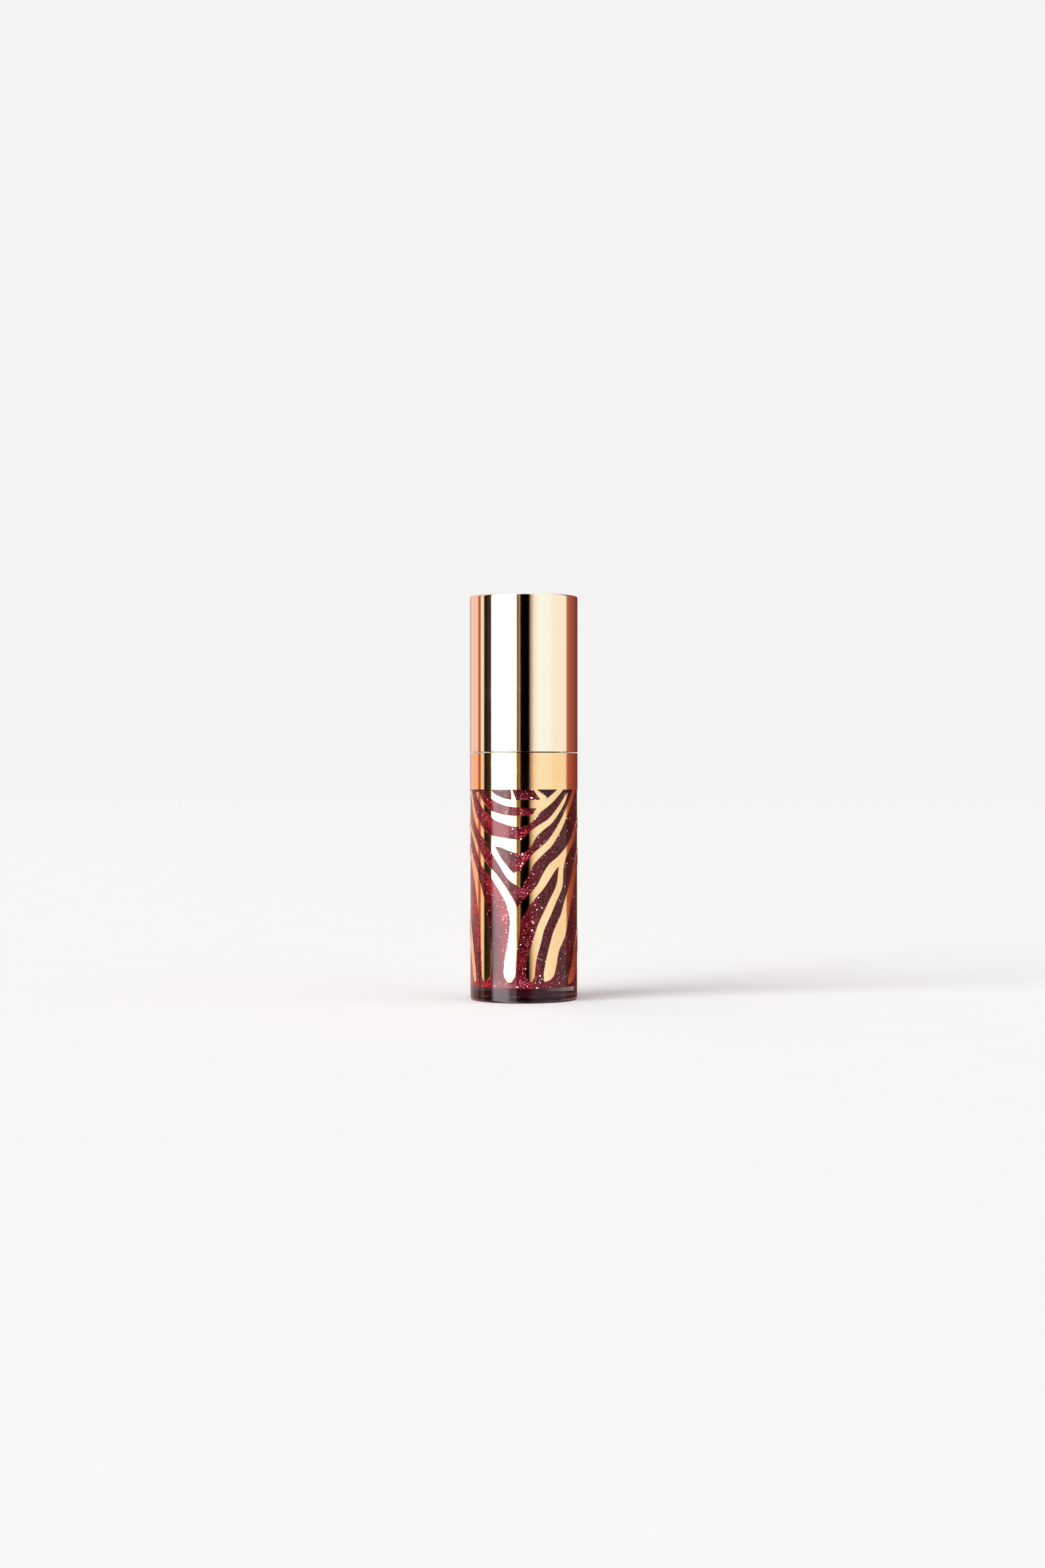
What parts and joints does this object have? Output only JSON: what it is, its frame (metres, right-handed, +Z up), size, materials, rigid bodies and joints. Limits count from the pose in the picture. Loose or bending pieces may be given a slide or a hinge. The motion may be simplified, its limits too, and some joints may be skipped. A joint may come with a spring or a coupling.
{
  "type": "lip gloss tube",
  "caption": "Slim round lip gloss tube: clear thick-walled bottle with gold striped foil, glitter gloss, and a gold screw cap carrying a flocked wand.",
  "frame": {"origin": "centre of the base, on the surface that the closed tube stands on", "axes": "+Z up the tube's axis from base to cap; -Y faces the viewer of the stripe pattern's front"},
  "size_m": [0.0208, 0.0208, 0.078],
  "materials": {
    "clear_plastic": "clear, polished, heavy-walled",
    "gloss": "thick raspberry gloss full of fine silver-pink glitter",
    "gold_foil": "mirror gold foil, cut into animal stripes",
    "label": "blank satin label",
    "soft_plastic": "soft, slightly waxy moulded plastic",
    "seal_foam": "soft white sealing foam",
    "steel": "turned steel",
    "gold_metal": "polished aluminium, anodised pale gold",
    "white_plastic": "moulded ivory plastic",
    "stem_plastic": "black moulded plastic, wet with gloss",
    "flock": "short nylon flock soaked with gloss"
  },
  "bodies": {
    "bottle": {"bottle": "clear_plastic", "gloss": "gloss", "gold_foil": "gold_foil", "shade_label": "label", "wiper": "soft_plastic"},
    "washer": {"seal_washer": "seal_foam"},
    "weight": {"cap_weight": "steel"},
    "cap": {"cap_shell": "gold_metal", "inner_cap": "white_plastic", "wand_stem": "stem_plastic", "tip_core": "soft_plastic", "tip_flock": "flock"}
  },
  "joints": [
    {"name": "cap_lift", "type": "slide", "parent": "bottle", "child": "washer", "axis": [0, 0, 1], "range_m": [0, 0.06]},
    {"name": "cap_rise", "type": "slide", "parent": "washer", "child": "weight", "axis": [0, 0, 1], "range_m": [0, 0.0045]},
    {"name": "cap_turn", "type": "hinge", "parent": "weight", "child": "cap", "pos_m": [0, 0, 0.0479], "axis": [0, 0, 1], "range_deg": [0, 540]}
  ],
  "couplings": [
    {"joint": "cap_rise", "follows": "cap_turn", "m_per_rad": 0.00047746}
  ]
}
